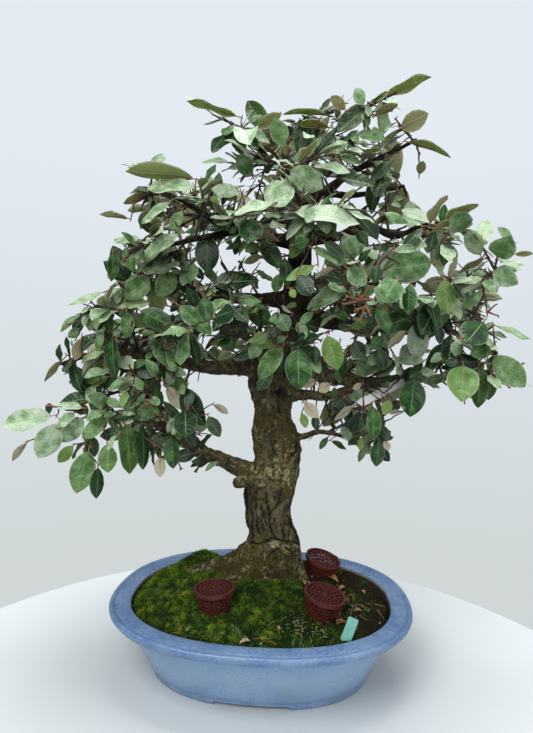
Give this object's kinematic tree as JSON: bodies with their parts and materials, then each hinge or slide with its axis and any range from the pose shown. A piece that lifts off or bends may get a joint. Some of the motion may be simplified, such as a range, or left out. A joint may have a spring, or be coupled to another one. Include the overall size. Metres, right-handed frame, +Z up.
{
  "type": "informal upright broadleaf bonsai",
  "caption": "Informal upright bonsai with broad oval leaves on spreading limbs, rooted in mossy soil in an oval blue-glazed pot with fertiliser baskets.",
  "frame": {"origin": "on the surface the pot stands on, below the middle of the whole tree's box", "axes": "+Z up, +X to the right along the pot's long side, +Y from the tree's front to its back"},
  "size_m": [0.7223, 0.4611, 0.7974],
  "materials": {
    "glaze": "blue glazed stoneware, semi-gloss",
    "moss_and_soil": "moss over dark soil, matt",
    "bark": "rough fissured bark, matt",
    "leaf": "waxy green leaf with a soft sheen",
    "basket_plastic": "dark red-brown moulded plastic, satin",
    "label_plastic": "pale turquoise plastic strip, matt",
    "tag_paper": "white coated paper, matt"
  },
  "bodies": {
    "root": {"basket_back_cup": "basket_plastic", "basket_back_lid": "basket_plastic", "basket_left_cup": "basket_plastic", "basket_left_lid": "basket_plastic", "basket_right_cup": "basket_plastic", "basket_right_lid": "basket_plastic", "paper_tag": "tag_paper", "plant_label": "label_plastic", "pot": "glaze", "shoot_apex_front": "leaf", "shoot_apex_left_end": "leaf", "shoot_apex_left_mid": "leaf", "shoot_apex_rear": "leaf", "shoot_apex_right_end": "leaf", "shoot_apex_top": "leaf", "shoot_back_high": "leaf", "shoot_back_low_end": "leaf", "shoot_back_low_right": "leaf", "shoot_back_right_end": "leaf", "shoot_front_high": "leaf", "shoot_front_mid": "leaf", "shoot_front_right": "leaf", "shoot_high_left_end": "leaf", "shoot_high_left_inner": "leaf", "shoot_high_left_low": "leaf", "shoot_high_left_mid": "leaf", "shoot_high_left_rear": "leaf", "shoot_low_left_crown": "leaf", "shoot_low_left_end": "leaf", "shoot_low_left_inner": "leaf", "shoot_low_left_mid": "leaf", "shoot_low_left_rear": "leaf", "shoot_mid_left_back": "leaf", "shoot_mid_left_crown": "leaf", "shoot_mid_left_end": "leaf", "shoot_mid_left_front": "leaf", "shoot_mid_left_inner": "leaf", "shoot_mid_left_rear": "leaf", "shoot_mid_left_top": "leaf", "shoot_right_diagonal_end": "leaf", "shoot_right_diagonal_mid": "leaf", "shoot_right_hang": "leaf", "shoot_right_low_end": "leaf", "shoot_right_low_mid": "leaf", "shoot_right_low_twig": "leaf", "shoot_right_mid": "leaf", "shoot_right_second_end": "leaf", "shoot_right_top_end": "leaf", "shoot_right_top_mid": "leaf", "shoot_right_top_rear": "leaf", "shoot_right_upper_end": "leaf", "shoot_right_upper_mid": "leaf", "shoot_right_upper_rear": "leaf", "shoot_upper_left_end": "leaf", "shoot_upper_left_front": "leaf", "shoot_upper_left_inner": "leaf", "shoot_upper_left_mid": "leaf", "shoot_upper_left_rear": "leaf", "soil": "moss_and_soil", "trunk": "bark"}
  },
  "joints": []
}
